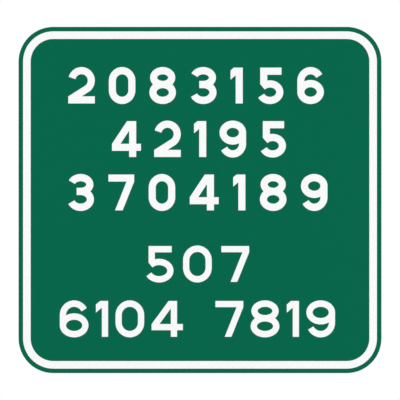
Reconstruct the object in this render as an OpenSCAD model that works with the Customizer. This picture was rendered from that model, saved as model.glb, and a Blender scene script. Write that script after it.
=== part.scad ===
// Overhead direction sign panel with its stiffening rails, clips and two hangers.
// Millimetres. X runs to the right as the face is read, Y runs from the face to the back, Z is up.
// The origin is the centre of the back face of the lower left gantry plate.

/* [Face] */
// Width of the sign face
face_w = 2400; // [1800:50:3600]
// Height of the sign face
face_h = 2290; // [1800:10:3000]
// Radius of the face's corners
corner_r = 230; // [150:10:300]
// Thickness of the aluminium sheets
sheet_t = 1.6; // [1.2:0.2:3]
// Gap between the two sheets at the centre joint
joint_gap = 0.1; // [0.1:0.1:2]
// Thickness of one layer of reflective film
film_t = 0.5; // [0.3:0.1:1]
// Green margin outside the white border
border_margin = 30; // [10:5:50]
// Width of the white border
border_w = 50; // [20:5:80]

/* [Stiffening rails] */
// Number of rails up the face
rail_count = 5; // [3:1:7]
// Distance from the face's top and bottom edges to the outer rails' centrelines
rail_edge = 130; // [80:10:200]
// Distance from the face's outline to a rail's ends
rail_inset = 25; // [10:5:60]
// Depth of a rail, from the sheet to its slotted crest
rail_depth = 50; // [35:5:80]
// Thickness of a rail's two webs
rail_wall = 3; // [2:0.5:5]
// Width of the foot on each side of a rail
foot_w = 20; // [12:1:35]
// Thickness of the feet
foot_t = 3; // [2:0.5:5]
// Radius between a foot and its web
foot_fillet_r = 3; // [1:0.5:5]
// Thickness of the lips beside the slot
lip_t = 4; // [3:0.5:6]
// Thickness of the shelf under the bolt pocket
shelf_t = 2; // [1.5:0.5:4]

/* [Joint strips] */
// Width of the strips behind the centre joint
strip_w = 100; // [60:10:160]
// Thickness of the strips
strip_t = 2; // [1.6:0.2:4]
// Gap between a strip's end and the next rail's foot, or the face's edge
strip_gap = 1; // [0.5:0.5:20]

/* [Hangers] */
// Distance between the two hangers' centrelines
hanger_spacing = 1400; // [900:50:1600]
// Distance from the face's top and bottom edges to the hangers' ends
hanger_end_gap = 45; // [10:5:80]
// Depth of the hanger section
hanger_d = 97; // [90:1:160]
// Width of the hanger's flanges
hanger_b = 99; // [75:1:150]
// Thickness of the hanger's flanges
hanger_flange_t = 7; // [5:0.5:12]
// Thickness of the hanger's web
hanger_web_t = 5; // [4:0.5:10]
// Root radius between web and flange
hanger_root_r = 10; // [6:1:14]

/* [Gantry plates] */
// Height between the lower and the upper plates' centres
plate_spacing = 1500; // [900:50:1700]
// Width of a plate
plate_w = 260; // [230:10:320]
// Height of a plate
plate_h = 200; // [180:10:300]
// Thickness of a plate
plate_t = 12; // [8:1:20]
// Radius of a plate's corners
plate_corner_r = 15; // [5:5:20]
// Diameter of the bolt holes
gantry_hole_d = 22; // [18:1:26]
// Distance between bolt holes across the hanger
gantry_hole_x = 190; // [180:5:200]
// Distance between bolt holes up the hanger
gantry_hole_z = 140; // [80:5:150]

/* [Web stiffeners] */
// Thickness of a stiffener
stiffener_t = 6; // [4:1:12]
// Length of a stiffener along the web
stiffener_web_l = 50; // [35:1:55]
// Length of a stiffener's free end, square to the web
stiffener_nose = 16; // [14:1:24]
// Gap between a stiffener's corner and the flange's edge
stiffener_edge_gap = 4; // [1:1:8]

/* [Clips] */
// Width of a clip along the hanger
clip_w = 38; // [32:1:50]
// Thickness of a clip over the flange
clip_t = 9; // [6:1:12]
// Bearing length of the clip's nose on the flange
clip_nose = 16; // [10:1:20]
// Width of the clip's nose
clip_nose_w = 26; // [18:1:30]
// Length of the clip's heel on the rail
clip_heel = 8; // [5:1:12]
// Depth of the tongue that keeps the heel in the slot
clip_tongue = 2.5; // [1:0.5:2.5]
// Distance from the flange's edge to the bolt
bolt_offset = 12; // [10:1:18]

/* [Clip bolts] */
// Diameter of the clip bolts
bolt_d = 12; // [8:1:14]
// Length of bolt that stands out of the nut
bolt_tail = 5; // [2:1:8]

/* [Clearances] */
// Room on each side of a bolt in the slot and in the clip's hole
bolt_clearance = 0.5; // [0.3:0.1:1]
// Room on each side of a bolt's head in its pocket
head_clearance = 1; // [0.5:0.1:1.1]
// Room under a bolt's head in its pocket
head_drop = 2.5; // [1:0.5:4]
// Room on each side of the clip's tongue in the slot
tongue_clearance = 0.4; // [0.3:0.1:1]

/* [Hidden] */

// Facets of a full circle at a corner, of a section's quarter-round, and of a full circle at a hole
corner_facets = 96;
fillet_facets = 6;
hole_facets = 64;

// Standard proportions of a hexagon bolt, its nut and its washer, as shares of the bolt's diameter
head_af = 1.5 * bolt_d;
head_h = 0.625 * bolt_d;
nut_h = 0.9 * bolt_d;
washer_d = 2 * bolt_d;
washer_t = 0.2 * bolt_d;
hex_chamfer = 0.08 * bolt_d;

// Stack of the parts along Y, from the gantry plates' back face at 0 to the border film's face
hanger_back_y = -plate_t;
crest_y = hanger_back_y - hanger_d;
sheet_back_y = crest_y - rail_depth;
film_back_y = sheet_back_y - sheet_t;
border_back_y = film_back_y - film_t;

// The middle of the face, seen from the origin
mid_x = hanger_spacing / 2;
mid_z = plate_spacing / 2;

// The rails
slot_w = bolt_d + 2 * bolt_clearance;
pocket_w = head_af + 2 * head_clearance;
pocket_depth = head_h + head_drop;
body_w = pocket_w + 2 * rail_wall;
rail_w = body_w + 2 * foot_w;
rail_pitch = (face_h - 2 * rail_edge) / (rail_count - 1);
foot_tip_r = 0.45 * foot_t;
crest_edge_r = 1;

// The hangers
hanger_l = face_h - 2 * hanger_end_gap;

// The clips, measured from the flange's edge
washer_margin = 2;
clip_heel_u = bolt_offset + washer_d / 2 + washer_margin;
clip_end_u = clip_heel_u + clip_heel;
clip_top_v = hanger_flange_t + clip_t;
clip_nose_bevel = 4;
clip_root_r = 3;
clip_heel_r = 6;
clip_plan_r = 5;

// Room between a stiffener's snipe and the hanger's root radius
snipe_clearance = 2;

SIDES = ["left", "right"];
LEVELS = ["lower", "upper"];
rail_numbers = [for (i = [1:rail_count]) i];

// +1 on the right of the face and -1 on the left
function side_sign(side) = side == "right" ? 1 : -1;
// +1 at the upper level and -1 at the lower
function level_sign(level) = level == "upper" ? 1 : -1;
// Height of a rail's centreline above the middle of the face; rail 1 is the lowest
function rail_z(i) = -face_h / 2 + rail_edge + (i - 1) * rail_pitch;

// Points of an arc about c, from angle a0 to a1
function arc(c, r, a0, a1, n) =
    [for (i = [0:n]) c + r * [cos(a0 + (a1 - a0) * i / n), sin(a0 + (a1 - a0) * i / n)]];

function reversed(path) = [for (i = [len(path) - 1:-1:0]) path[i]];

// Half the width of the face at a height h from its middle
function half_width_at(h) =
    let (past = h - (face_h / 2 - corner_r))
    past <= 0 ? face_w / 2 : face_w / 2 - corner_r + sqrt(corner_r * corner_r - past * past);

// A rectangle about its centre, with round corners
module rounded_rectangle(w, h, r) {
    square([w - 2 * r, h], center = true);
    square([w, h - 2 * r], center = true);
    for (x = [-1, 1] * (w / 2 - r), y = [-1, 1] * (h / 2 - r))
        translate([x, y]) circle(r, $fn = corner_facets);
}

// Outline of the face, drawn in by inset
module face_outline(inset) {
    rounded_rectangle(face_w - 2 * inset, face_h - 2 * inset, corner_r - inset);
}

// Keeps what lies right of the centre joint
module right_half() {
    intersection() {
        children();
        translate([joint_gap / 2, -face_h / 2]) square([face_w / 2, face_h]);
    }
}

// Moves to the middle of the face
module at_middle() {
    translate([mid_x, 0, mid_z]) children();
}

// Turns a piece made for the right side into one for the named side
module on_side(side) {
    mirror([side == "right" ? 0 : 1, 0, 0]) children();
}

// Stands an XZ outline up as a slab of thickness t, with its back at y
module slab(y, t) {
    translate([0, y, 0]) rotate([90, 0, 0]) linear_extrude(t) children();
}

// The aluminium sheet on one side of the centre joint
module face_sheet(side) {
    color("silver")
        at_middle() on_side(side) slab(sheet_back_y, sheet_t) right_half() face_outline(0);
}

// The green film that covers that sheet's front
module green_film(side) {
    color("#00664a")
        at_middle() on_side(side) slab(film_back_y, film_t) right_half() face_outline(0);
}

// One half of the white border, laid on the green film
module border_film(side) {
    color("white")
        at_middle() on_side(side) slab(border_back_y, film_t) right_half() difference() {
            face_outline(border_margin);
            face_outline(border_margin + border_w);
        }
}

// Right half of the rail's section as [depth from the crest, height from the centreline]
function rail_half_section() =
    let (
        body = body_w / 2,
        tip = rail_w / 2,
        foot_top = foot_t - rail_depth
    )
    concat(
        [[0, slot_w / 2]],
        arc([-crest_edge_r, body - crest_edge_r], crest_edge_r, 0, 90, fillet_facets),
        arc([foot_top + foot_fillet_r, body + foot_fillet_r], foot_fillet_r, -90, -180, fillet_facets),
        arc([foot_top - foot_tip_r, tip - foot_tip_r], foot_tip_r, 0, 90, fillet_facets),
        [
            [-rail_depth, tip],
            [-rail_depth, pocket_w / 2],
            [-lip_t - pocket_depth - shelf_t, pocket_w / 2]
        ]
    );

// Inside of the bolt pocket, from its floor to the slot
function pocket_half_section() = [
    [-lip_t - pocket_depth, pocket_w / 2],
    [-lip_t, pocket_w / 2],
    [-lip_t, slot_w / 2]
];

function flipped(path) = [for (p = reversed(path)) [p[0], -p[1]]];

// One extruded stiffening rail: feet on the sheet, two webs, and a slot over a bolt pocket
module stiffening_rail(i) {
    half_l = half_width_at(abs(rail_z(i)) + rail_w / 2) - rail_inset;
    color("gainsboro")
        at_middle() translate([-half_l, crest_y, rail_z(i)])
            rotate([90, 0, 90]) linear_extrude(2 * half_l)
                polygon(concat(
                    rail_half_section(),
                    flipped(rail_half_section()),
                    flipped(pocket_half_section()),
                    pocket_half_section()
                ));
}

// Strips behind the centre joint, one in each bay
module joint_strips() {
    foot = rail_w / 2 + strip_gap;
    lows = concat([-face_h / 2 + strip_gap], [for (i = rail_numbers) rail_z(i) + foot]);
    highs = concat([for (i = rail_numbers) rail_z(i) - foot], [face_h / 2 - strip_gap]);
    color("silver")
        at_middle() for (k = [0:rail_count])
            translate([-strip_w / 2, sheet_back_y, lows[k]]) cube([strip_w, strip_t, highs[k] - lows[k]]);
}

// A quarter of the hanger's section, about its centre: the right half of the back flange
function hanger_quarter() =
    let (root = [hanger_web_t / 2 + hanger_root_r, hanger_d / 2 - hanger_flange_t - hanger_root_r])
    concat(
        arc(root, hanger_root_r, 180, 90, fillet_facets),
        [[hanger_b / 2, hanger_d / 2 - hanger_flange_t], [hanger_b / 2, hanger_d / 2]]
    );

function turned_half(path) = [for (p = path) -p];
function mirrored_x(path) = [for (p = reversed(path)) [-p[0], p[1]]];

// Places a piece on a hanger's axis, with y = 0 in the middle of its section
module at_hanger(side) {
    at_middle() translate([side_sign(side) * mid_x, hanger_back_y - hanger_d / 2, 0]) children();
}

// One rolled I-section hanger
module hanger(side) {
    half = concat(hanger_quarter(), mirrored_x(hanger_quarter()));
    color("lightslategray")
        at_hanger(side) translate([0, 0, -hanger_l / 2])
            linear_extrude(hanger_l) polygon(concat(half, turned_half(half)));
}

// Places a piece at a gantry plate's centre, with y = 0 on its back face
module at_plate(level, side) {
    at_middle() translate([side_sign(side) * mid_x, 0, level_sign(level) * mid_z]) children();
}

// The plate that a gantry's bolts or U-bolts go through
module gantry_plate(level, side) {
    cut = 1;
    color("slategray")
        at_plate(level, side) difference() {
            slab(0, plate_t) rounded_rectangle(plate_w, plate_h, plate_corner_r);
            for (x = [-1, 1] * gantry_hole_x / 2, z = [-1, 1] * gantry_hole_z / 2)
                translate([x, cut, z]) rotate([90, 0, 0])
                    cylinder(h = plate_t + 2 * cut, d = gantry_hole_d, $fn = hole_facets);
        }
}

// A stiffener's outline, from the corner of web and back flange, with that corner cut off to clear the root
function stiffener_outline() =
    let (
        web = hanger_web_t / 2,
        flange = hanger_d / 2 - hanger_flange_t,
        snipe = hanger_root_r + snipe_clearance,
        edge = hanger_b / 2 - stiffener_edge_gap
    )
    [
        [web + snipe, flange],
        [edge, flange],
        [edge, flange - stiffener_t],
        [web + stiffener_nose, flange - stiffener_web_l],
        [web, flange - stiffener_web_l],
        [web, flange - snipe]
    ];

// The four stiffeners that carry one gantry plate's load into the web, level with its bolts
module web_stiffeners(level, side) {
    color("lightslategray")
        at_hanger(side) for (s = SIDES, z = [-1, 1] * gantry_hole_z / 2)
            on_side(s) translate([0, 0, level_sign(level) * mid_z + z - stiffener_t / 2])
                linear_extrude(stiffener_t) polygon(stiffener_outline());
}

// Places a piece beside a hanger's front flange: x from the flange's edge, y from the rail's crest
module at_clip(side, i, s) {
    at_middle() translate([side_sign(side) * mid_x, crest_y, rail_z(i)])
        on_side(s) translate([hanger_b / 2, 0, 0]) children();
}

// Side view of a clip: its nose on the flange, its heel on the rail
function clip_profile() = concat(
    arc([clip_heel_u - clip_root_r, hanger_flange_t - clip_root_r], clip_root_r, 0, 90, fillet_facets),
    [
        [-clip_nose, hanger_flange_t],
        [-clip_nose, clip_top_v - clip_nose_bevel],
        [-clip_nose + clip_nose_bevel, clip_top_v]
    ],
    arc([clip_end_u - clip_heel_r, clip_top_v - clip_heel_r], clip_heel_r, 90, 0, fillet_facets),
    [[clip_end_u, 0], [clip_heel_u, 0]]
);

// Plan of a clip: a narrow nose that widens to the bolt
function clip_plan() = concat(
    [
        [-clip_nose, -clip_nose_w / 2],
        [0, -clip_w / 2]
    ],
    arc([clip_end_u - clip_plan_r, -clip_w / 2 + clip_plan_r], clip_plan_r, -90, 0, fillet_facets),
    arc([clip_end_u - clip_plan_r, clip_w / 2 - clip_plan_r], clip_plan_r, 0, 90, fillet_facets),
    [
        [0, clip_w / 2],
        [-clip_nose, clip_nose_w / 2]
    ]
);

// One cast clip with its bolt hole, and a tongue that drops into the slot
module clip() {
    cut = 1;
    tongue_w = slot_w - 2 * tongue_clearance;
    difference() {
        intersection() {
            translate([0, 0, -clip_w / 2]) linear_extrude(clip_w) polygon(clip_profile());
            translate([0, clip_top_v + cut, 0]) rotate([90, 0, 0])
                linear_extrude(clip_top_v + 2 * cut) polygon(clip_plan());
        }
        translate([bolt_offset, clip_top_v + cut, 0]) rotate([90, 0, 0])
            cylinder(h = clip_t + 2 * cut, d = bolt_d + 2 * bolt_clearance, $fn = hole_facets);
    }
    translate([clip_heel_u, -clip_tongue, -tongue_w / 2])
        cube([clip_heel, clip_tongue, tongue_w]);
}

// The two clips where one hanger crosses one rail
module clips(side, i) {
    color("darkgray")
        for (s = SIDES) at_clip(side, i, s) clip();
}

// A hexagon prism along +Y, flats square to Z, with both ends' corners turned off
module hexagon(h, af) {
    corner_d = af / cos(30);
    rotate([-90, 0, 0]) intersection() {
        cylinder(h = h, d = corner_d, $fn = 6);
        union() {
            cylinder(h = hex_chamfer, d1 = af, d2 = corner_d, $fn = hole_facets);
            translate([0, 0, hex_chamfer])
                cylinder(h = h - 2 * hex_chamfer, d = corner_d, $fn = hole_facets);
            translate([0, 0, h - hex_chamfer])
                cylinder(h = hex_chamfer, d1 = corner_d, d2 = af, $fn = hole_facets);
        }
    }
}

// One clip bolt: its head in the rail's pocket, its washer and nut on the clip
module clip_bolt() {
    tip = clip_top_v + washer_t + nut_h + bolt_tail;
    head_top = -lip_t;
    translate([0, head_top - head_h, 0]) hexagon(head_h, head_af);
    translate([0, head_top, 0]) rotate([-90, 0, 0])
        cylinder(h = tip - head_top, d = bolt_d, $fn = hole_facets);
    translate([0, clip_top_v, 0]) rotate([-90, 0, 0])
        cylinder(h = washer_t, d = washer_d, $fn = hole_facets);
    translate([0, clip_top_v + washer_t, 0]) hexagon(nut_h, head_af);
}

// The two bolts where one hanger crosses one rail
module clip_bolts(side, i) {
    color("whitesmoke")
        for (s = SIDES) at_clip(side, i, s) translate([bolt_offset, 0, 0]) clip_bolt();
}

for (s = SIDES) {
    face_sheet(s);
    green_film(s);
    border_film(s);
    hanger(s);
    for (l = LEVELS) {
        gantry_plate(l, s);
        web_stiffeners(l, s);
    }
    for (i = rail_numbers) {
        clips(s, i);
        clip_bolts(s, i);
    }
}
for (i = rail_numbers)
    stiffening_rail(i);
joint_strips();
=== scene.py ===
import math

import bmesh
import bpy
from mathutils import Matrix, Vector
from mathutils.geometry import delaunay_2d_cdt


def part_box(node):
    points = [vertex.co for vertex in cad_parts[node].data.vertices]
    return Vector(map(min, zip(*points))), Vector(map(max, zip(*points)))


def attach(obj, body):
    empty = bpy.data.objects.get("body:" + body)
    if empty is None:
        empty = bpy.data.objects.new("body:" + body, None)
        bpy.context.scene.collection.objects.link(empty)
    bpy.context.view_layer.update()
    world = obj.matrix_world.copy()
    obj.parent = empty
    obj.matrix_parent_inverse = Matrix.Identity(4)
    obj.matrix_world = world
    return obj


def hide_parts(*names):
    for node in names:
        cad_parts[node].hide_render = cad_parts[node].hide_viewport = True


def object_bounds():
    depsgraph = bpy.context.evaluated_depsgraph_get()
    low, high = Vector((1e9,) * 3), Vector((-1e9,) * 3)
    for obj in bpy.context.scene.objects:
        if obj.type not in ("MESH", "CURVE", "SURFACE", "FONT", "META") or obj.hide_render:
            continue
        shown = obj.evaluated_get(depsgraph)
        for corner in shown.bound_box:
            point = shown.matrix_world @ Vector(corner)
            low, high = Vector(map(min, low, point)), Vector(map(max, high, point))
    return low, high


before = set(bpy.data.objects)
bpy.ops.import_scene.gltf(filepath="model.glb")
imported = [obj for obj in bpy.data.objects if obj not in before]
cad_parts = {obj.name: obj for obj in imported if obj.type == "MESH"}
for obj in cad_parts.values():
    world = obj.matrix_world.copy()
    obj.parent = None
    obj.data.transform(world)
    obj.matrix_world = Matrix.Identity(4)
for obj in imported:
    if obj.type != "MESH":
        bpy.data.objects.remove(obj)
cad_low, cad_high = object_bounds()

# The looks of an overhead direction sign panel and its hangers. Lengths are in metres, in the
# frame's axes: X across the face as it is read, Y from its front to its back, Z up.

SIDES, LEVELS, BOTH_WAYS = ("left", "right"), ("lower", "upper"), (-1, 1)
RAILS = sorted(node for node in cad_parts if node.startswith("stiffening_rail_"))
MIDDLE = (cad_low + cad_high) / 2

# Planes of the face and the edges of its centre joint, from the frame
WHITE_FRONT_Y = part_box("border_film_left")[0].y
GREEN_FRONT_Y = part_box("border_film_left")[1].y
SHEET_BACK_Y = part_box("face_sheet_left")[1].y
JOINT_EDGES = (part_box("green_film_left")[1].x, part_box("green_film_right")[0].x)

# Sizes that the part's source sets, where the frame's boxes don't give them
FOOT_W, FOOT_T = 0.020, 0.003
STRIP_T = 0.002
FLANGE_T, WEB_T = 0.007, 0.005
STIFFENER_T, STIFFENER_L, STIFFENER_EDGE_GAP = 0.006, 0.050, 0.004
SNIPE, GANTRY_HOLE_Z = 0.012, 0.140
BOLT_D, BOLT_TAIL = 0.012, 0.005
HEAD_AF, HEAD_H = 1.5 * BOLT_D, 0.625 * BOLT_D
NUT_H, WASHER_D, WASHER_T = 0.9 * BOLT_D, 2 * BOLT_D, 0.2 * BOLT_D


# Node trees

class Socket:
    """An output of a node. An expression on sockets and numbers adds its Math nodes."""

    def __init__(self, nodes, socket):
        self.nodes, self.socket = nodes, socket

    def out(self, name):
        """Another output of the same node."""
        return Socket(self.nodes, self.socket.node.outputs[name])

    def __add__(self, other):
        return self.nodes.maths("ADD", self, other)

    def __sub__(self, other):
        return self.nodes.maths("SUBTRACT", self, other)

    def __rsub__(self, other):
        return self.nodes.maths("SUBTRACT", other, self)

    def __mul__(self, other):
        return self.nodes.maths("MULTIPLY", self, other)

    def __truediv__(self, other):
        return self.nodes.maths("DIVIDE", self, other)

    def __rtruediv__(self, other):
        return self.nodes.maths("DIVIDE", other, self)

    def __pow__(self, other):
        return self.nodes.maths("POWER", self, other)

    def __rpow__(self, other):
        return self.nodes.maths("POWER", other, self)

    def __neg__(self):
        return self * -1

    def __abs__(self):
        return self.nodes.maths("ABSOLUTE", self)

    __radd__, __rmul__ = __add__, __mul__


class Nodes:
    """A node tree under construction."""

    def __init__(self, tree):
        self.tree = tree

    def add(self, kind, settings=None, inputs=None):
        """Adds a node, sets its settings and then its sockets, and returns its first output."""
        node = self.tree.nodes.new(kind)
        for name, value in (settings or {}).items():
            setattr(node, name, value)
        for name, value in (inputs or {}).items():
            if isinstance(value, Socket):
                self.tree.links.new(value.socket, node.inputs[name])
            else:
                node.inputs[name].default_value = value
        outputs = [socket for socket in node.outputs if socket.enabled]
        return Socket(self, outputs[0]) if outputs else None

    def maths(self, operation, *values):
        return self.add("ShaderNodeMath", {"operation": operation}, dict(enumerate(values)))


MOST_NOISE = (0.3, 0.7)  # most of a noise lies in this range
FULL = (0.0, 1.0)


class Finish(Nodes):
    """A material with one Principled shader. Patterns lie on Object coordinates."""

    def __init__(self, name):
        self.material = bpy.data.materials.new(name)
        self.material.use_nodes = True
        super().__init__(self.material.node_tree)
        self.tree.nodes.clear()

    def place(self, stretch=(1, 1, 1)):
        """Object coordinates, each times its stretch."""
        where = self.add("ShaderNodeTexCoord").out("Object")
        return self.add("ShaderNodeMapping", None, {"Vector": where, "Scale": stretch})

    def noise(self, scale, stretch=(1, 1, 1), detail=3.0, roughness=0.55):
        """Noise from 0 to 1, with scale features to a metre."""
        return self.add("ShaderNodeTexNoise", None, {
            "Vector": self.place(stretch), "Scale": scale, "Detail": detail,
            "Roughness": roughness})

    def blend(self, share, first, second):
        """Colour first where share is 0, and second where it is 1. The node's colour sockets are
        6, 7 and output 2."""
        mix = self.add("ShaderNodeMix", {"data_type": "RGBA"}, {0: share, 6: first, 7: second})
        return mix.out(2)

    def remap(self, value, new, old=MOST_NOISE):
        """Takes the range old to the range new, and keeps what lies past it at the ends."""
        return self.add("ShaderNodeMapRange", None, {
            "Value": value, "From Min": old[0], "From Max": old[1],
            "To Min": new[0], "To Max": new[1]})

    def bump(self, height, strength, depth):
        return self.add("ShaderNodeBump", None, {
            "Strength": strength, "Distance": depth, "Height": height})

    def finish(self, **sockets):
        """Ends the material. A word such as base_color names the socket Base Color."""
        named = {name.replace("_", " ").title().replace("Ior", "IOR"): value
                 for name, value in sockets.items()}
        shader = self.add("ShaderNodeBsdfPrincipled", None, named)
        self.add("ShaderNodeOutputMaterial", None, {"Surface": shader})
        return self.material


def grey(value, tint=(1, 1, 1)):
    return tuple(value * t for t in tint) + (1.0,)


# Finishes

def reflective_film(name, colour, seam_colour):
    """Prismatic sheeting: fine seams between diamond cells, under a smooth top layer."""
    cell, seam, lean = 0.012, 0.0007, 0.62
    seam_tint, cell_tint, drift_tint = 0.5, 0.08, 0.05
    f = Finish(name)
    where = f.add("ShaderNodeSeparateXYZ", None, {"Vector": f.place()})
    x, z = where.out("X"), where.out("Z")
    rising, falling = (x + z * lean) / cell, (x - z * lean) / cell
    from_seams = [abs(f.maths("FRACT", way) - 0.5) for way in (rising, falling)]
    on_seam = f.remap(f.maths("MAXIMUM", *from_seams), FULL, old=(0.5 - seam / cell, 0.5))
    number = f.add("ShaderNodeCombineXYZ", None, {
        "X": f.maths("FLOOR", rising), "Y": f.maths("FLOOR", falling)})
    each_cell = f.add("ShaderNodeTexWhiteNoise", {"noise_dimensions": "2D"}, {"Vector": number})
    drift = f.remap(f.noise(1.3, detail=2.0), (0.0, drift_tint))
    body = f.blend(drift + each_cell * cell_tint, colour, seam_colour)
    return f.finish(
        base_color=f.blend(on_seam * seam_tint, body, seam_colour),
        roughness=f.remap(f.noise(9.0), (0.24, 0.32)) + on_seam * 0.1,
        specular_ior_level=0.03,
        normal=f.bump(1.0 - on_seam, strength=0.15, depth=0.0001),
    )


def rolled_aluminium(name, dark, light, streak_scale):
    """Mill-finish sheet: faint streaks up the sheet, with soft blotches of oxide."""
    f = Finish(name)
    streaks = f.noise(streak_scale, stretch=(1, 1, 0.02), detail=4.0)
    blotches = f.noise(5.0, detail=5.0, roughness=0.6)
    tone = f.remap(streaks * 0.5 + blotches * 0.5, FULL, old=(0.35, 0.65))
    return f.finish(
        base_color=f.blend(tone, grey(dark, tint=(0.98, 1.0, 1.02)), grey(light)),
        metallic=0.85,
        roughness=f.remap(streaks, (0.34, 0.46)) + f.remap(blotches, (0.0, 0.1), old=(0.4, 0.8)),
        normal=f.bump(streaks, strength=0.12, depth=0.0003),
    )


def extruded_aluminium():
    """Extruded rail: die lines along its length."""
    f = Finish("extruded_aluminium")
    lines = f.noise(420.0, stretch=(0.01, 1, 1), detail=3.0)
    patches = f.noise(7.0, stretch=(0.4, 1, 1))
    tone = f.remap(lines * 0.6 + patches * 0.4, FULL)
    return f.finish(
        base_color=f.blend(tone, grey(0.38, tint=(0.99, 1.0, 1.02)), grey(0.50)),
        metallic=0.9,
        roughness=f.remap(patches, (0.36, 0.46)),
        normal=f.bump(lines, strength=0.2, depth=0.0003),
    )


def hot_dip_zinc(name, spangle, contrast):
    """Zinc crystals of two sizes, feathered into each other and dulled in patches. Spangle is how
    many coarse ones lie along a metre."""
    finer, feather, coarse_share, frost_share, dull_share = 2.6, 0.9, 0.55, 0.35, 0.55
    f = Finish(name)
    wander = f.noise(60.0, detail=4.0, roughness=0.7).out("Color")
    bent = f.add("ShaderNodeVectorMath", {"operation": "MULTIPLY_ADD"},
                 {0: wander, 1: (feather / spangle,) * 3, 2: f.place()})
    shades = []
    for scale in (spangle, spangle * finer):
        crystal = f.add("ShaderNodeTexVoronoi", {"feature": "F1"}, {"Vector": bent, "Scale": scale})
        shades.append(f.add("ShaderNodeSeparateColor", None, {"Color": crystal.out("Color")}))
    coarse, fine = shades
    frost = f.noise(900.0, detail=3.0, roughness=0.7)
    dull = f.remap(f.noise(3.5, detail=6.0, roughness=0.65), FULL, old=(0.40, 0.62))
    crystals = coarse * coarse_share + fine * (1 - coarse_share)
    tone = 0.5 + (crystals - 0.5) * contrast + (frost - 0.5) * frost_share
    bright = f.blend(tone, grey(0.335, tint=(0.96, 1.0, 1.05)), grey(0.475, tint=(0.98, 1.0, 1.03)))
    return f.finish(
        base_color=f.blend(dull * dull_share, bright, grey(0.385, tint=(0.98, 1.0, 1.03))),
        metallic=0.55,
        roughness=f.remap(coarse.out("Green"), (0.38, 0.54), old=FULL) + dull * 0.08,
        normal=f.bump(f.noise(45.0, detail=5.0), strength=0.3, depth=0.0010),
    )


def cast_iron_zinc():
    """Cast clip under zinc: a grainy skin."""
    f = Finish("cast_clip")
    grain = f.noise(700.0, detail=4.0, roughness=0.7)
    stain = f.remap(f.noise(60.0, detail=3.0), FULL, old=(0.35, 0.65))
    return f.finish(
        base_color=f.blend(stain, grey(0.30, tint=(0.98, 1.0, 1.03)), grey(0.42)),
        metallic=0.5,
        roughness=f.remap(grain, (0.46, 0.62)),
        normal=f.bump(grain, strength=0.5, depth=0.0006),
    )


def plated_bolt():
    """Zinc-plated fastener: smooth, with a faint straw tint."""
    f = Finish("plated_bolt")
    cloud = f.noise(180.0, detail=2.0)
    straw, silver = grey(0.60, tint=(1.0, 0.98, 0.90)), grey(0.70, tint=(0.99, 1.0, 1.0))
    return f.finish(
        base_color=f.blend(cloud, straw, silver),
        metallic=0.9,
        roughness=f.remap(cloud, (0.22, 0.34)),
    )


def rivet_aluminium():
    """Rivet's closed end: soft aluminium, hammered flat."""
    f = Finish("rivet_aluminium")
    marks = f.noise(900.0, detail=2.0)
    return f.finish(
        base_color=f.blend(marks, grey(0.58), grey(0.74)),
        metallic=0.85,
        roughness=f.remap(marks, (0.26, 0.42)),
    )


GREEN, GREEN_SEAM = (0.0, 0.133, 0.069, 1.0), (0.006, 0.108, 0.060, 1.0)
WHITE, WHITE_SEAM = (0.96, 0.96, 0.96, 1.0), (0.80, 0.81, 0.82, 1.0)

green_film = reflective_film("green_reflective_film", GREEN, GREEN_SEAM)
white_film = reflective_film("white_reflective_film", WHITE, WHITE_SEAM)
sheet_metal = rolled_aluminium("rolled_sheet", dark=0.37, light=0.43, streak_scale=160.0)
strip_metal = rolled_aluminium("rolled_strip", dark=0.41, light=0.49, streak_scale=230.0)
rail_metal = extruded_aluminium()
steel = hot_dip_zinc("zinc_on_steel", spangle=95.0, contrast=0.75)
weld_metal = hot_dip_zinc("zinc_on_weld", spangle=300.0, contrast=0.5)
clip_metal = cast_iron_zinc()
bolt_metal = plated_bolt()
rivet_metal = rivet_aluminium()

FINISH_OF = {
    "face_sheet": sheet_metal,
    "joint_strips": strip_metal,
    "green_film": green_film,
    "border_film": white_film,
    "stiffening_rail": rail_metal,
    "hanger": steel,
    "gantry_plate": steel,
    "web_stiffeners": steel,
    "clips": clip_metal,
    "clip_bolts": bolt_metal,
}
for node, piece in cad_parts.items():
    kind = next(kind for kind in FINISH_OF if node.startswith(kind))
    piece.data.materials.clear()
    piece.data.materials.append(FINISH_OF[kind])


# Making pieces

def keep(piece, slot, *replaced):
    """Puts a finished piece on the sign."""
    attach(piece, "root")
    if replaced:
        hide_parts(*replaced)
    return piece


def new_object(name, data):
    """An object at the origin, in the scene."""
    made = bpy.data.objects.new(name, data)
    bpy.context.scene.collection.objects.link(made)
    return made


def mesh_of(name, vertices, edges, faces):
    mesh = bpy.data.meshes.new(name)
    mesh.from_pydata(vertices, edges, faces)
    return mesh


def mesh_from(name, solid):
    """The mesh of a bmesh, which is freed."""
    mesh = bpy.data.meshes.new(name)
    solid.to_mesh(mesh)
    solid.free()
    return mesh


def shade_smooth(mesh):
    for polygon in mesh.polygons:
        polygon.use_smooth = True


def evaluated_mesh(piece):
    """The plain mesh that a piece's modifiers make."""
    evaluated = piece.evaluated_get(bpy.context.evaluated_depsgraph_get())
    return bpy.data.meshes.new_from_object(evaluated)


def new_tree(name, *inputs):
    """A Geometry Nodes tree with named inputs, each a name, a kind of socket and a default."""
    tree = bpy.data.node_groups.new(name, "GeometryNodeTree")
    for way in ("INPUT", "OUTPUT"):
        tree.interface.new_socket("Geometry", in_out=way, socket_type="NodeSocketGeometry")
    for label, kind, default in inputs:
        socket = tree.interface.new_socket(label, in_out="INPUT", socket_type="NodeSocket" + kind)
        if default is not None:
            socket.default_value = default
    nodes = Nodes(tree)
    return nodes, nodes.add("NodeGroupInput")


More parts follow.
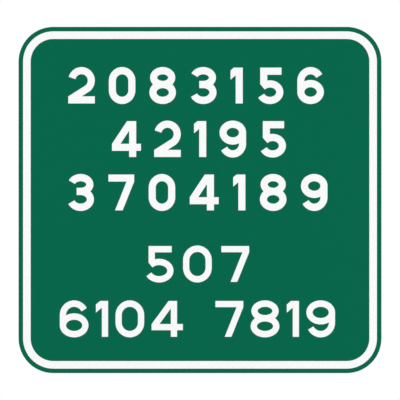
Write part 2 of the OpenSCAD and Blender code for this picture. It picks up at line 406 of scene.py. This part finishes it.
def end_tree(nodes, given, geometry):
    """Realizes the instances and sets the material."""
    real = nodes.add("GeometryNodeRealizeInstances", None, {"Geometry": geometry})
    painted = nodes.add("GeometryNodeSetMaterial", None, {
        "Geometry": real, "Material": given.out("Material")})
    nodes.add("NodeGroupOutput", None, {"Geometry": painted})
    return nodes.tree


def grown(name, source, tree, **inputs):
    """A piece with the plain mesh that a tree makes of a mesh of points or lines. A word such as
    ripple_pitch names the tree's input Ripple Pitch."""
    piece = new_object(name, source)
    modifier = piece.modifiers.new("grow", "NODES")
    modifier.node_group = tree
    for item in tree.interface.items_tree:
        word = item.name.lower().replace(" ", "_")
        if item.in_out == "INPUT" and word in inputs:
            modifier[item.identifier] = inputs[word]
    bpy.context.view_layer.update()
    mesh = evaluated_mesh(piece)
    piece.modifiers.clear()
    piece.data = mesh
    bpy.data.meshes.remove(source)
    mesh.name = name
    mesh.materials.clear()
    mesh.materials.append(inputs["material"])
    for polygon in mesh.polygons:
        polygon.material_index = 0
    return piece


def lines_mesh(name, lines):
    """A mesh of separate edges, each given by its two ends."""
    ends = [end for line in lines for end in line]
    return mesh_of(name, ends, [(i, i + 1) for i in range(0, len(ends), 2)], [])


# Rivets

BUTTON_D, BUTTON_H, BUTTON_SPREAD = 0.0072, 0.0024, 0.07
RAIL_RIVET_PITCH, STRIP_RIVET_PITCH = 0.145, 0.075


def rivet_rows():
    """The closed ends of countersunk rivets along lines: flat buttons with round rims, each a
    little different. They stand up along +Y, and their heads lie flush under the film."""
    hammered = 0.62  # where a ball of radius 1 is beaten flat
    nodes, given = new_tree(
        "rivet_rows", ("Pitch", "Float", RAIL_RIVET_PITCH), ("Button Diameter", "Float", BUTTON_D),
        ("Button Height", "Float", BUTTON_H), ("Spread", "Float", BUTTON_SPREAD),
        ("Material", "Material", None))
    rows = nodes.add("GeometryNodeMeshToCurve", None, {"Mesh": given})
    places = nodes.add("GeometryNodeResampleCurve", {"mode": "LENGTH"}, {
        "Curve": rows, "Length": given.out("Pitch")})
    ball = nodes.add("GeometryNodeMeshUVSphere", None, {"Segments": 16, "Rings": 9, "Radius": 1.0})
    where = nodes.add("ShaderNodeSeparateXYZ", None, {
        "Vector": nodes.add("GeometryNodeInputPosition")})
    x, y, z = where.out("X"), where.out("Y"), where.out("Z")
    rise = nodes.maths("MINIMUM", nodes.maths("MAXIMUM", z, 0.0) / hammered, 1.0)
    radius = given.out("Button Diameter") / 2
    shaped = nodes.add("ShaderNodeCombineXYZ", None, {
        "X": x * radius, "Y": rise * given.out("Button Height"), "Z": -y * radius})
    button = nodes.add("GeometryNodeSetPosition", None, {"Geometry": ball, "Position": shaped})
    size = nodes.add("FunctionNodeRandomValue", None, {
        "Min": 1 - given.out("Spread"), "Max": 1 + given.out("Spread"), "Seed": 3})
    buttons = nodes.add("GeometryNodeInstanceOnPoints", None, {
        "Points": places, "Instance": button, "Scale": size})
    return end_tree(nodes, given, buttons)


def foot_lines():
    """The middle of both feet of every rail, in either sheet."""
    end_margin, joint_margin, y = 0.040, 0.060, SHEET_BACK_Y + FOOT_T
    lines = []
    for rail in RAILS:
        low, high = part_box(rail)
        for z in (low.z + FOOT_W / 2, high.z - FOOT_W / 2):
            lines.append([(low.x + end_margin, y, z), (MIDDLE.x - joint_margin, y, z)])
            lines.append([(MIDDLE.x + joint_margin, y, z), (high.x - end_margin, y, z)])
    return lines


def strip_lines():
    """Two rows up each joint strip, one in either sheet. A strip fills the bay between two
    rails' feet, or between the last feet and the edge of the face."""
    end_margin, row_share, y = 0.028, 0.6, SHEET_BACK_Y + STRIP_T
    reach = (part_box("joint_strips")[1].x - MIDDLE.x) * row_share
    lows = [cad_low.z] + [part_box(rail)[1].z for rail in RAILS]
    highs = [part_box(rail)[0].z for rail in RAILS] + [cad_high.z]
    lines = []
    for low, high in zip(lows, highs):
        for x in (MIDDLE.x - reach, MIDDLE.x + reach):
            lines.append([(x, y, low + end_margin), (x, y, high - end_margin)])
    return lines


rivets = rivet_rows()
for name, lines, pitch in (
        ("rail_rivets", foot_lines(), RAIL_RIVET_PITCH),
        ("strip_rivets", strip_lines(), STRIP_RIVET_PITCH)):
    piece = grown(name, lines_mesh(name, lines), rivets, pitch=pitch, button_diameter=BUTTON_D,
                  button_height=BUTTON_H, spread=BUTTON_SPREAD, material=rivet_metal)
    keep(piece, "sheet")


# Welds

PLATE_LEG, PLATE_RIPPLE = 0.005, 0.004
STIFFENER_LEG, STIFFENER_RIPPLE = 0.0035, 0.003


def weld_runs():
    """Fillet welds along lines: a bead in overlapping ripples, with rounded ends."""
    steps, round_points = 4, 10
    ripple_depth, end_size, thinnest, swell = 0.17, 0.35, 0.9, 0.25
    nodes, given = new_tree(
        "weld_runs", ("Leg", "Float", PLATE_LEG), ("Ripple Pitch", "Float", PLATE_RIPPLE),
        ("Material", "Material", None))
    leg, pitch = given.out("Leg"), given.out("Ripple Pitch")
    runs = nodes.add("GeometryNodeMeshToCurve", None, {"Mesh": given})
    stepped = nodes.add("GeometryNodeResampleCurve", {"mode": "LENGTH"}, {
        "Curve": runs, "Length": pitch / steps})
    along = nodes.add("GeometryNodeSplineParameter").out("Length")
    left = nodes.add("GeometryNodeSplineLength") - along
    uneven = nodes.add("ShaderNodeTexNoise", None, {
        "Vector": nodes.add("GeometryNodeInputPosition"), "Scale": 90.0, "Detail": 1.0})
    ripple = 1 - ripple_depth * nodes.maths("FRACT", along / pitch + uneven)
    near_end = nodes.maths("MINIMUM", 1.0, nodes.maths("MINIMUM", along, left) / leg)
    rounded = (1 - (1 - near_end) ** 2.0) ** 0.5
    size = ripple * (end_size + (1 - end_size) * rounded) * (thinnest + swell * uneven)
    ring = nodes.add("GeometryNodeCurvePrimitiveCircle", None, {
        "Resolution": round_points, "Radius": leg})
    bead = nodes.add("GeometryNodeCurveToMesh", None, {
        "Curve": stepped, "Profile Curve": ring, "Scale": size, "Fill Caps": True})
    return end_tree(nodes, given, bead)


def plate_weld_lines():
    """Round each gantry plate: up the hanger's two flange edges, and across the flange above
    and below the plate."""
    end_gap = 0.004
    lines = []
    for side in SIDES:
        hanger_low, hanger_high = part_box(f"hanger_{side}")
        y = hanger_high.y
        for level in LEVELS:
            low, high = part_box(f"gantry_plate_{level}_{side}")
            for x in (hanger_low.x, hanger_high.x):
                lines.append([(x, y, low.z + end_gap), (x, y, high.z - end_gap)])
            for z in (low.z, high.z):
                lines.append([(hanger_low.x + end_gap, y, z), (hanger_high.x - end_gap, y, z)])
    return lines


def stiffener_weld_lines():
    """Both faces of every stiffener: along the web, and along the inside of the back flange."""
    lines = []
    for side in SIDES:
        hanger_low, hanger_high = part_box(f"hanger_{side}")
        mid_x, edges = (hanger_low.x + hanger_high.x) / 2, (hanger_low.x, hanger_high.x)
        flange_y = hanger_high.y - FLANGE_T
        web_end_y = flange_y - STIFFENER_L
        for level in LEVELS:
            low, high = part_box(f"gantry_plate_{level}_{side}")
            for hole in BOTH_WAYS:
                for face in BOTH_WAYS:
                    z = (low.z + high.z) / 2 + hole * GANTRY_HOLE_Z / 2 + face * STIFFENER_T / 2
                    for way, edge_x in zip(BOTH_WAYS, edges):
                        web_x = mid_x + way * WEB_T / 2
                        tip_x = edge_x - way * STIFFENER_EDGE_GAP
                        lines.append([(web_x, flange_y - SNIPE, z), (web_x, web_end_y, z)])
                        lines.append([(web_x + way * SNIPE, flange_y, z), (tip_x, flange_y, z)])
    return lines


welds = weld_runs()
for name, lines, leg, ripple_pitch in (
        ("plate_welds", plate_weld_lines(), PLATE_LEG, PLATE_RIPPLE),
        ("stiffener_welds", stiffener_weld_lines(), STIFFENER_LEG, STIFFENER_RIPPLE)):
    piece = grown(name, lines_mesh(name, lines), welds, leg=leg, ripple_pitch=ripple_pitch,
                  material=weld_metal)
    keep(piece, "galvanised_steel")


# Clip bolts

bolt_low, bolt_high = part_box("clip_bolts_left_1")
BOLT_L = bolt_high.y - bolt_low.y
THREAD_PITCH = 0.00175
CREST_R = BOLT_D / 2
ROOT_R = CREST_R - 0.6134 * THREAD_PITCH
FACE_R, TURNED_OFF = 0.475 * HEAD_AF, math.radians(30)  # a hexagon's end, and its corners' slope
SINK_R, SINK_DEPTH = CREST_R + 0.0003, 0.0009
WASHER_HOLE_R, WASHER_EDGE = CREST_R + 0.0005, 0.0004
HEXAGON_POINTS, SHANK_POINTS = 48, 24
SAME_THREAD_POINT, SHARP_ANGLE = 1e-7, math.radians(25)
NUT_TURN = math.radians(60)


def ring_at(radius, y, count=HEXAGON_POINTS):
    """A ring round the Y axis. The radius and the height may be functions of the angle."""
    turns = [math.tau * i / count for i in range(count)]
    radii = [radius(a) if callable(radius) else radius for a in turns]
    heights = [y(a) if callable(y) else y for a in turns]
    return [(r * math.sin(a), h, r * math.cos(a)) for a, r, h in zip(turns, radii, heights)]


def add_skin(solid, rings, bored=False):
    """Joins rings of points into a closed skin: capped, or joined end to end where bored."""
    made = [[solid.verts.new(p) for p in ring] for ring in rings]
    for ring, following in zip(made, made[1:] + (made[:1] if bored else [])):
        for j in range(len(ring)):
            solid.faces.new([ring[j - 1], ring[j], following[j], following[j - 1]])
    if not bored:
        solid.faces.new(made[0][::-1])
        solid.faces.new(made[-1])


def flat_distance(angle):
    """Distance from the axis to a hexagon's side, at an angle from the middle of one side."""
    return HEAD_AF / 2 / math.cos((angle + math.pi / 6) % (math.pi / 3) - math.pi / 6)


def hexagon_rings(low, high):
    """A hexagon whose corners are turned off at both ends."""

    def inset(angle):
        return (flat_distance(angle) - FACE_R) * math.tan(TURNED_OFF)

    return [
        ring_at(FACE_R, low),
        ring_at(flat_distance, lambda a: low + inset(a)),
        ring_at(flat_distance, lambda a: high - inset(a)),
        ring_at(FACE_R, high),
    ]


def add_thread(solid, low, high):
    """A thread cut flat at both ends. Its rows of points climb one pitch in each turn."""
    count = SHANK_POINTS
    profile = ((0.0, ROOT_R), (0.2, ROOT_R), (0.45, CREST_R), (0.6, CREST_R))
    step = len(profile)
    rows = []
    for row in range(-2 * step, step * math.ceil((high - low) / THREAD_PITCH + 2)):
        share, radius = profile[row % step]
        points = []
        for j in range(count):
            y = low + (row // step + share + j / count) * THREAD_PITCH
            end_r = ROOT_R + max(0.0, min(y - low, high - y))
            r, angle = min(radius, end_r), math.tau * j / count
            cut_y = min(max(y, low), high)
            points.append(solid.verts.new((r * math.sin(angle), cut_y, r * math.cos(angle))))
        rows.append(points)
    for row, (ring, following) in enumerate(zip(rows, rows[1:-step])):
        ring, following = ring + rows[row + step][:1], following + rows[row + step + 1][:1]
        for j in range(count):
            solid.faces.new([ring[j], ring[j + 1], following[j + 1], following[j]])
    points = [point for row in rows for point in row]
    bmesh.ops.remove_doubles(solid, verts=points, dist=SAME_THREAD_POINT)
    unused = [point for point in solid.verts if not point.link_faces]
    bmesh.ops.delete(solid, geom=unused, context="VERTS")
    bmesh.ops.holes_fill(solid, edges=[e for e in solid.edges if e.is_boundary], sides=0)


def build_bolt(solid):
    """Hexagon head, plain shank and the thread that stands out of the nut."""
    shank_end = BOLT_L - BOLT_TAIL - THREAD_PITCH
    add_skin(solid, hexagon_rings(0.0, HEAD_H))
    add_skin(solid, [ring_at(CREST_R, y, SHANK_POINTS) for y in (HEAD_H, shank_end)])
    add_thread(solid, shank_end - THREAD_PITCH, BOLT_L)


def build_nut(solid):
    """The nut with its countersunk bore, and the washer under it."""
    nut_high = BOLT_L - BOLT_TAIL
    nut_low = nut_high - NUT_H
    add_skin(solid, hexagon_rings(nut_low, nut_high) + [
        ring_at(SINK_R, nut_high), ring_at(ROOT_R, nut_high - SINK_DEPTH),
        ring_at(ROOT_R, nut_low + SINK_DEPTH), ring_at(SINK_R, nut_low)], bored=True)
    rim_r, low, high = WASHER_D / 2, nut_low - WASHER_T, nut_low
    add_skin(solid, [
        ring_at(rim_r - WASHER_EDGE, low), ring_at(rim_r, low + WASHER_EDGE),
        ring_at(rim_r, high - WASHER_EDGE), ring_at(rim_r - WASHER_EDGE, high),
        ring_at(WASHER_HOLE_R, high), ring_at(WASHER_HOLE_R, low)], bored=True)


def master_piece(name, build):
    """A piece of a bolt with the end of its head at the origin and its axis along +Y."""
    solid = bmesh.new()
    build(solid)
    mesh = mesh_from(name, solid)
    shade_smooth(mesh)
    mesh.set_sharp_from_angle(angle=SHARP_ANGLE)
    return new_object(name, mesh)


def bolt_places():
    """A copy of the master at every point, turned about its axis by up to Turn."""
    nodes, given = new_tree(
        "bolt_places", ("Master", "Object", None), ("Turn", "Float", 0.0),
        ("Material", "Material", None))
    master = nodes.add("GeometryNodeObjectInfo", None, {"Object": given.out("Master")})
    angle = nodes.add("FunctionNodeRandomValue", None, {"Max": given.out("Turn"), "Seed": 7})
    turned = nodes.add("FunctionNodeAxisAngleToRotation", None, {"Axis": (0, 1, 0), "Angle": angle})
    copies = nodes.add("GeometryNodeInstanceOnPoints", None, {
        "Points": given, "Instance": master.out("Geometry"), "Rotation": turned})
    return end_tree(nodes, given, copies)


def bolt_points(bolts):
    """The end of the head of both bolts at each crossing."""
    points = []
    for node in bolts:
        low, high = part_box(node)
        for x in (low.x + WASHER_D / 2, high.x - WASHER_D / 2):
            points.append((x, low.y, (low.z + high.z) / 2))
    return points


places = bolt_places()
bolt, nut = master_piece("bolt", build_bolt), master_piece("nut", build_nut)
for side in SIDES:
    bolts = [f"clip_bolts_{side}_{rail}" for rail in range(1, len(RAILS) + 1)]
    for name, master, turn in (
            (f"threaded_bolts_{side}", bolt, 0.0), (f"nuts_{side}", nut, NUT_TURN)):
        points = mesh_of(name, bolt_points(bolts), [], [])
        piece = grown(name, points, places, master=master, turn=turn, material=bolt_metal)
        keep(piece, "bolt", *bolts)
for master in (bolt, nut):
    bpy.data.objects.remove(master)


# Eased edges

SAME_CORNER, FLAT_ANGLE, ARRIS_ANGLE = 1e-6, math.radians(0.2), math.radians(18)
FLATS_WEIGH_MOST = 100

# Each kind of piece, its slot and finish, and its bevels' width and steps
EASED = (
    ("stiffening_rail", "rail", rail_metal, 0.0003, 1),
    ("hanger", "galvanised_steel", steel, 0.0008, 2),
    ("gantry_plate", "galvanised_steel", steel, 0.0010, 2),
    ("web_stiffeners", "galvanised_steel", steel, 0.0006, 2),
    ("clips", "clip", clip_metal, 0.0014, 3),
)


def eased(node, slot, metal, width, segments):
    """Stands for a CAD piece: the same solid with its arrises taken off, as it leaves the works.
    The frame's own normals are dropped, as they would shade the new faces wrongly."""
    solid = bmesh.new()
    solid.from_mesh(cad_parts[node].data)
    bmesh.ops.remove_doubles(solid, verts=solid.verts, dist=SAME_CORNER)
    bmesh.ops.dissolve_limit(solid, angle_limit=FLAT_ANGLE, verts=solid.verts, edges=solid.edges)
    mesh = mesh_from(f"{node}_eased", solid)
    for layer in ("custom_normal", "sharp_edge", "sharp_face"):
        if layer in mesh.attributes:
            mesh.attributes.remove(mesh.attributes[layer])
    mesh.materials.append(metal)
    shade_smooth(mesh)
    piece = new_object(mesh.name, mesh)
    arris = piece.modifiers.new("arris", "BEVEL")
    arris.width, arris.segments = width, segments
    arris.limit_method, arris.angle_limit = "ANGLE", ARRIS_ANGLE
    flat = piece.modifiers.new("flat", "WEIGHTED_NORMAL")
    flat.mode, flat.weight = "FACE_AREA", FLATS_WEIGH_MOST
    piece.data = evaluated_mesh(piece)
    piece.modifiers.clear()
    return keep(piece, slot, node)


for kind, *treatment in EASED:
    for node in sorted(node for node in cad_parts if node.startswith(kind)):
        eased(node, *treatment)


# Legend: plain numbers cut from white film. A numeral is drawn at a height of 1, and its strokes
# are the centrelines of a pen. A stroke that runs past its box is cut square at the box.

CAP_HEIGHT = 0.237
BOLD, PLAIN = 0.196, 0.173
NARROW, WIDE = 0.74, 0.80
WORD_GAP = 4.4  # in gaps between numerals
OVERSHOOT = 0.015
ROUND_TOPS, ROUND_FEET = "023689", "035689"
STROKE_STEP = math.radians(7)
ABOVE, BELOW = 1.1, -0.1
SAME_NUMERAL_POINT, SAME_FILM_POINT, STRAIGHT = 1e-7, 1e-5, 0.001

# Each row's numbers, its centre from the middle of the face, its pen, the width of its round
# numerals and its own width
LEGEND = (
    ("2083156", -0.026, 0.757, BOLD, NARROW, 1.69),
    ("42195", -0.007, 0.403, BOLD, NARROW, 1.15),
    ("3704189", -0.017, 0.050, BOLD, NARROW, 1.72),
    ("507", -0.020, -0.423, PLAIN, WIDE, 0.69),
    ("6104 7819", -0.017, -0.786, PLAIN, WIDE, 1.82),
)


def curve(cx, cz, rx, rz, start, end):
    """Points of an elliptical arc from angle start to end, in degrees."""
    sweep = math.radians(end - start)
    count = max(2, round(abs(sweep) / STROKE_STEP))
    turns = [math.radians(start) + sweep * i / count for i in range(count + 1)]
    return [(cx + rx * math.cos(a), cz + rz * math.sin(a)) for a in turns]


def tangent_angle(cx, cz, radius, x, z):
    """Angle, in degrees, at which a line from below left of a circle meets its right side."""
    to_centre = math.atan2(cz - z, cx - x)
    spread = math.asin(radius / math.hypot(cx - x, cz - z))
    return math.degrees(to_centre - spread) - 90


def ribbon(path, s):
    """Quads of a pen stroke of width s along a path, counter-clockwise, with mitred corners."""
    shut, sharpest = 1e-9, 0.3
    closed = math.dist(path[0], path[-1]) < shut
    points = [Vector(p) for p in path]
    sides = []
    for i, p in enumerate(points):
        before = points[i - 1] if i else (points[-2] if closed else None)
        after = points[i + 1] if i + 1 < len(points) else (points[1] if closed else None)
        come = (p - before).normalized() if before else (after - p).normalized()
        go = (after - p).normalized() if after else come
        across = Vector((-(come + go).y, (come + go).x)).normalized()
        reach = s / 2 / max(sharpest, across.dot(Vector((-come.y, come.x))))
        sides.append((p + across * reach, p - across * reach))
    return [(a[1], b[1], b[0], a[0]) for a, b in zip(sides, sides[1:])]


def numeral(sign, s, w):
    """Width and strokes of a numeral, for a pen of width s. Round numerals are w wide."""
    h = s / 2
    mid = w / 2
    rx = mid - h
    top_z, low_z = 1 - mid, mid
    bowl_low, bowl_high = 0.325, 0.285
    waist = 1 - 2 * bowl_high + h
    low_rz = waist / 2 - h / 2
    if sign == "0":
        ring = curve(mid, top_z, rx, rx, 0, 180) + curve(mid, low_z, rx, rx, 180, 360)
        return w, [ring + ring[:1]]
    if sign == "1":
        w = 0.34
        return w, [[(-0.2, 0.62), (w - h, 1.0)], [(w - h, ABOVE), (w - h, BELOW)]]
    if sign == "2":
        foot = (0.33 * h, h)
        end = tangent_angle(mid, top_z, rx, *foot)
        return w, [curve(mid, top_z, rx, rx, 165, end) + [foot], [(0, h), (w, h)]]
    if sign == "3":
        return w, [
            curve(mid, 1 - bowl_high, rx - 0.015, bowl_high - h, 160, -90),
            curve(mid, h + low_rz, rx, low_rz, 90, -160),
            [(0.7 * mid, waist), (mid, waist)],
        ]
    if sign == "4":
        w, stem, bar = 1.09 * w, 0.78 * w, 0.27
        return w, [
            [(stem, ABOVE), (stem, BELOW)],
            [(0, bar), (w, bar)],
            [(0.555 * h, bar), (stem - 0.02, 1.03)],
        ]
    if sign == "5":
        bowl = curve(mid, bowl_low, rx, bowl_low - h, 140, -155)
        corner = ribbon(bowl, s)[0][3]
        return w, [
            [(corner.x, 1 - h), (w - 0.05, 1 - h)],
            [(corner.x + h, 1), (corner.x + h, corner.y)],
            bowl,
        ]
    if sign in "69":
        strokes = [
            curve(mid, bowl_low, rx, bowl_low - h, 0, 360),
            curve(mid, top_z, rx, rx, 28, 180) + [(h, bowl_low)],
        ]
        if sign == "9":
            strokes = [[(w - x, 1 - z) for x, z in stroke] for stroke in strokes]
        return w, strokes
    if sign == "7":
        w, lean = 0.97 * w, 0.40
        stem_x = w - h * math.hypot(1, lean) - lean * (1 - s)
        return w, [
            [(0, 1 - h), (w, 1 - h)],
            [(stem_x + lean * (1 - h), 1 - h), (stem_x + lean * BELOW, BELOW)],
        ]
    return w, [
        curve(mid, 1 - bowl_high, rx - 0.02, bowl_high - h, 0, 360),
        curve(mid, h + low_rz, rx, low_rz, 0, 360),
    ]


def flat_union(width, strokes, s, cut):
    """The union of a numeral's strokes inside its box, as points and faces of them. The film is
    parted from one x of the cut to the other."""
    low, high = (min(max(x, 0), width) for x in cut)
    quads = [((a, 0), (b, 0), (b, 1), (a, 1)) for a, b in ((0, low), (high, width)) if b > a]
    boxes = len(quads)
    for stroke in strokes:
        quads += ribbon(stroke, s)
    corners = [Vector(p) for quad in quads for p in quad]
    faces = [list(range(4 * i, 4 * i + 4)) for i in range(len(quads))]
    points, _, found, _, _, within = delaunay_2d_cdt(
        corners, [], faces, 0, SAME_NUMERAL_POINT, True)
    return points, [face for face, owners in zip(found, within)
                    if owners and min(owners) < boxes <= max(owners)]


def thickened(name, film):
    """A piece of white film from flat shapes on the green one. Its faces are put in the order of
    their points, so that the mesh is the same in each run."""
    bmesh.ops.remove_doubles(film, verts=film.verts, dist=SAME_FILM_POINT)
    bmesh.ops.dissolve_limit(film, angle_limit=STRAIGHT, verts=film.verts, edges=film.edges)
    raised = bmesh.ops.extrude_face_region(film, geom=film.faces[:])["geom"]
    for v in raised:
        if isinstance(v, bmesh.types.BMVert):
            v.co.y = WHITE_FRONT_Y
    bmesh.ops.recalc_face_normals(film, faces=film.faces)
    film.verts.index_update()
    loops = []
    for face in film.faces:
        loop = [v.index for v in face.verts]
        start = loop.index(min(loop))
        loops.append(loop[start:] + loop[:start])
    mesh = mesh_of(name, [v.co[:] for v in film.verts], [], sorted(loops))
    film.free()
    mesh.materials.append(white_film)
    return new_object(name, mesh)


def legend_row(name, text, centre_x, centre_z, pen, numeral_w, width):
    """One row of numerals, spaced to its width and parted at the centre joint. Round tops and
    feet reach a little past the flat ones, so that they look as tall."""
    signs = text.replace(" ", "")
    glyphs = [numeral(sign, pen, numeral_w) for sign in signs]
    gaps = [WORD_GAP if after == " " else 1.0
            for sign, after in zip(text, text[1:] + " ") if sign != " "]
    gap = (width / CAP_HEIGHT - sum(w for w, _ in glyphs)) / sum(gaps[:-1])
    film = bmesh.new()
    left = -width / CAP_HEIGHT / 2
    for sign, (glyph_w, strokes), space in zip(signs, glyphs, gaps):
        joint = [(x - centre_x) / CAP_HEIGHT - left for x in JOINT_EDGES]
        points, faces = flat_union(glyph_w, strokes, pen, joint)
        low = -OVERSHOOT if sign in ROUND_FEET else 0.0
        high = 1.0 + OVERSHOOT if sign in ROUND_TOPS else 1.0
        made = {}
        for face in faces:
            for i in face:
                if i not in made:
                    x = centre_x + (left + points[i].x) * CAP_HEIGHT
                    z = centre_z + (low + (high - low) * points[i].y - 0.5) * CAP_HEIGHT
                    made[i] = film.verts.new((x, GREEN_FRONT_Y, z))
            film.faces.new([made[i] for i in face])
        left += glyph_w + space * gap
    return keep(thickened(name, film), "white_film")


for row, (text, aside, rise, pen, numeral_w, width) in enumerate(LEGEND, 1):
    legend_row(f"legend_row_{row}", text, MIDDLE.x + aside, MIDDLE.z + rise, pen, numeral_w, width)


# Camera, lights, floor and backdrop

PICTURE_W = 2.645  # what the picture's 400 px take in at the face
LENS, SENSOR_W, FAR = 85.0, 36.0, 100.0
AMBIENT = 0.72
FLOOR_R, FLOOR_DROP, FLOOR_POINTS = 9.0, 1.6, 96
FADE_START, FADE_END = 0.45, 0.7  # shares of the floor's radius
PALE, PURE_WHITE = (0.93, 0.93, 0.93, 1), (1, 1, 1, 1)

# Each light's steps aside from and above the sign's middle, its Y, its size and its power in watts
LIGHTS = {
    "front_light_left": (-6.0, 1.5, -6.5, 3.0, 132.0),
    "front_light_right": (6.0, 1.5, -6.5, 3.0, 132.0),
    "back_light": (3.5, 3.5, 6.0, 4.0, 220.0),
}


def add_camera():
    """Square to the face and level with its middle."""
    data = bpy.data.cameras.new("camera")
    data.lens, data.sensor_width, data.clip_end = LENS, SENSOR_W, FAR
    camera = new_object("camera", data)
    distance = PICTURE_W * data.lens / data.sensor_width
    camera.location = (MIDDLE.x, cad_low.y - distance, MIDDLE.z)
    camera.rotation_euler = (math.radians(90), 0, 0)
    bpy.context.scene.camera = camera


def add_light(name, place, size, power):
    data = bpy.data.lights.new(name, "AREA")
    data.size, data.energy = size, power
    light = new_object(name, data)
    light.location = place
    light.rotation_euler = (MIDDLE - Vector(place)).to_track_quat("-Z", "Y").to_euler()


def set_world():
    """White to the camera and in reflections, and a plain soft light on everything else."""
    world = bpy.data.worlds.new("studio")
    world.use_nodes = True
    world.node_tree.nodes.clear()
    nodes = Nodes(world.node_tree)
    path = nodes.add("ShaderNodeLightPath")
    seen = nodes.maths("MAXIMUM", path.out("Is Camera Ray"), path.out("Is Glossy Ray"))
    seen = nodes.maths("MAXIMUM", seen, path.out("Is Transmission Ray"))
    strength = seen * (1 - AMBIENT) + AMBIENT
    sky = nodes.add("ShaderNodeBackground", None, {"Color": PURE_WHITE, "Strength": strength})
    nodes.add("ShaderNodeOutputWorld", None, {"Surface": sky})
    bpy.context.scene.world = world


def floor_paint():
    """Pale paint that fades to white at the floor's rim and is clear from below."""
    f = Finish("floor")
    where = f.add("ShaderNodeTexCoord").out("Object")
    flat = f.add("ShaderNodeVectorMath", {"operation": "MULTIPLY"}, {0: where, 1: (1, 1, 0)})
    reach = f.add("ShaderNodeVectorMath", {"operation": "DISTANCE"}, {0: flat, 1: (MIDDLE.x, 0, 0)})
    fade = f.remap(reach.out("Value"), FULL, old=(FLOOR_R * FADE_START, FLOOR_R * FADE_END))
    seen = f.add("ShaderNodeLightPath").out("Is Camera Ray")
    paint = f.add("ShaderNodeBsdfDiffuse", None, {"Color": PALE})
    glow = f.add("ShaderNodeEmission", None, {"Color": PURE_WHITE, "Strength": 1.0})
    faded = f.add("ShaderNodeMixShader", None, {0: fade * seen, 1: paint, 2: glow})
    from_below = f.add("ShaderNodeNewGeometry").out("Backfacing")
    clear = f.add("ShaderNodeBsdfTransparent")
    mixed = f.add("ShaderNodeMixShader", None, {0: from_below, 1: faded, 2: clear})
    f.add("ShaderNodeOutputMaterial", None, {"Surface": mixed})
    return f.material


def add_floor():
    """A round floor well below the sign."""
    z = cad_low.z - FLOOR_DROP
    turns = [math.tau * i / FLOOR_POINTS for i in range(FLOOR_POINTS)]
    rim = [(MIDDLE.x + FLOOR_R * math.cos(a), FLOOR_R * math.sin(a), z) for a in turns]
    mesh = mesh_of("floor", rim, [], [list(range(FLOOR_POINTS))])
    mesh.materials.append(floor_paint())
    new_object("floor", mesh)


add_camera()
set_world()
for name, (aside, above, y, size, power) in LIGHTS.items():
    add_light(name, (MIDDLE.x + aside, y, MIDDLE.z + above), size, power)
add_floor()
bpy.context.scene.view_settings.view_transform = "Standard"
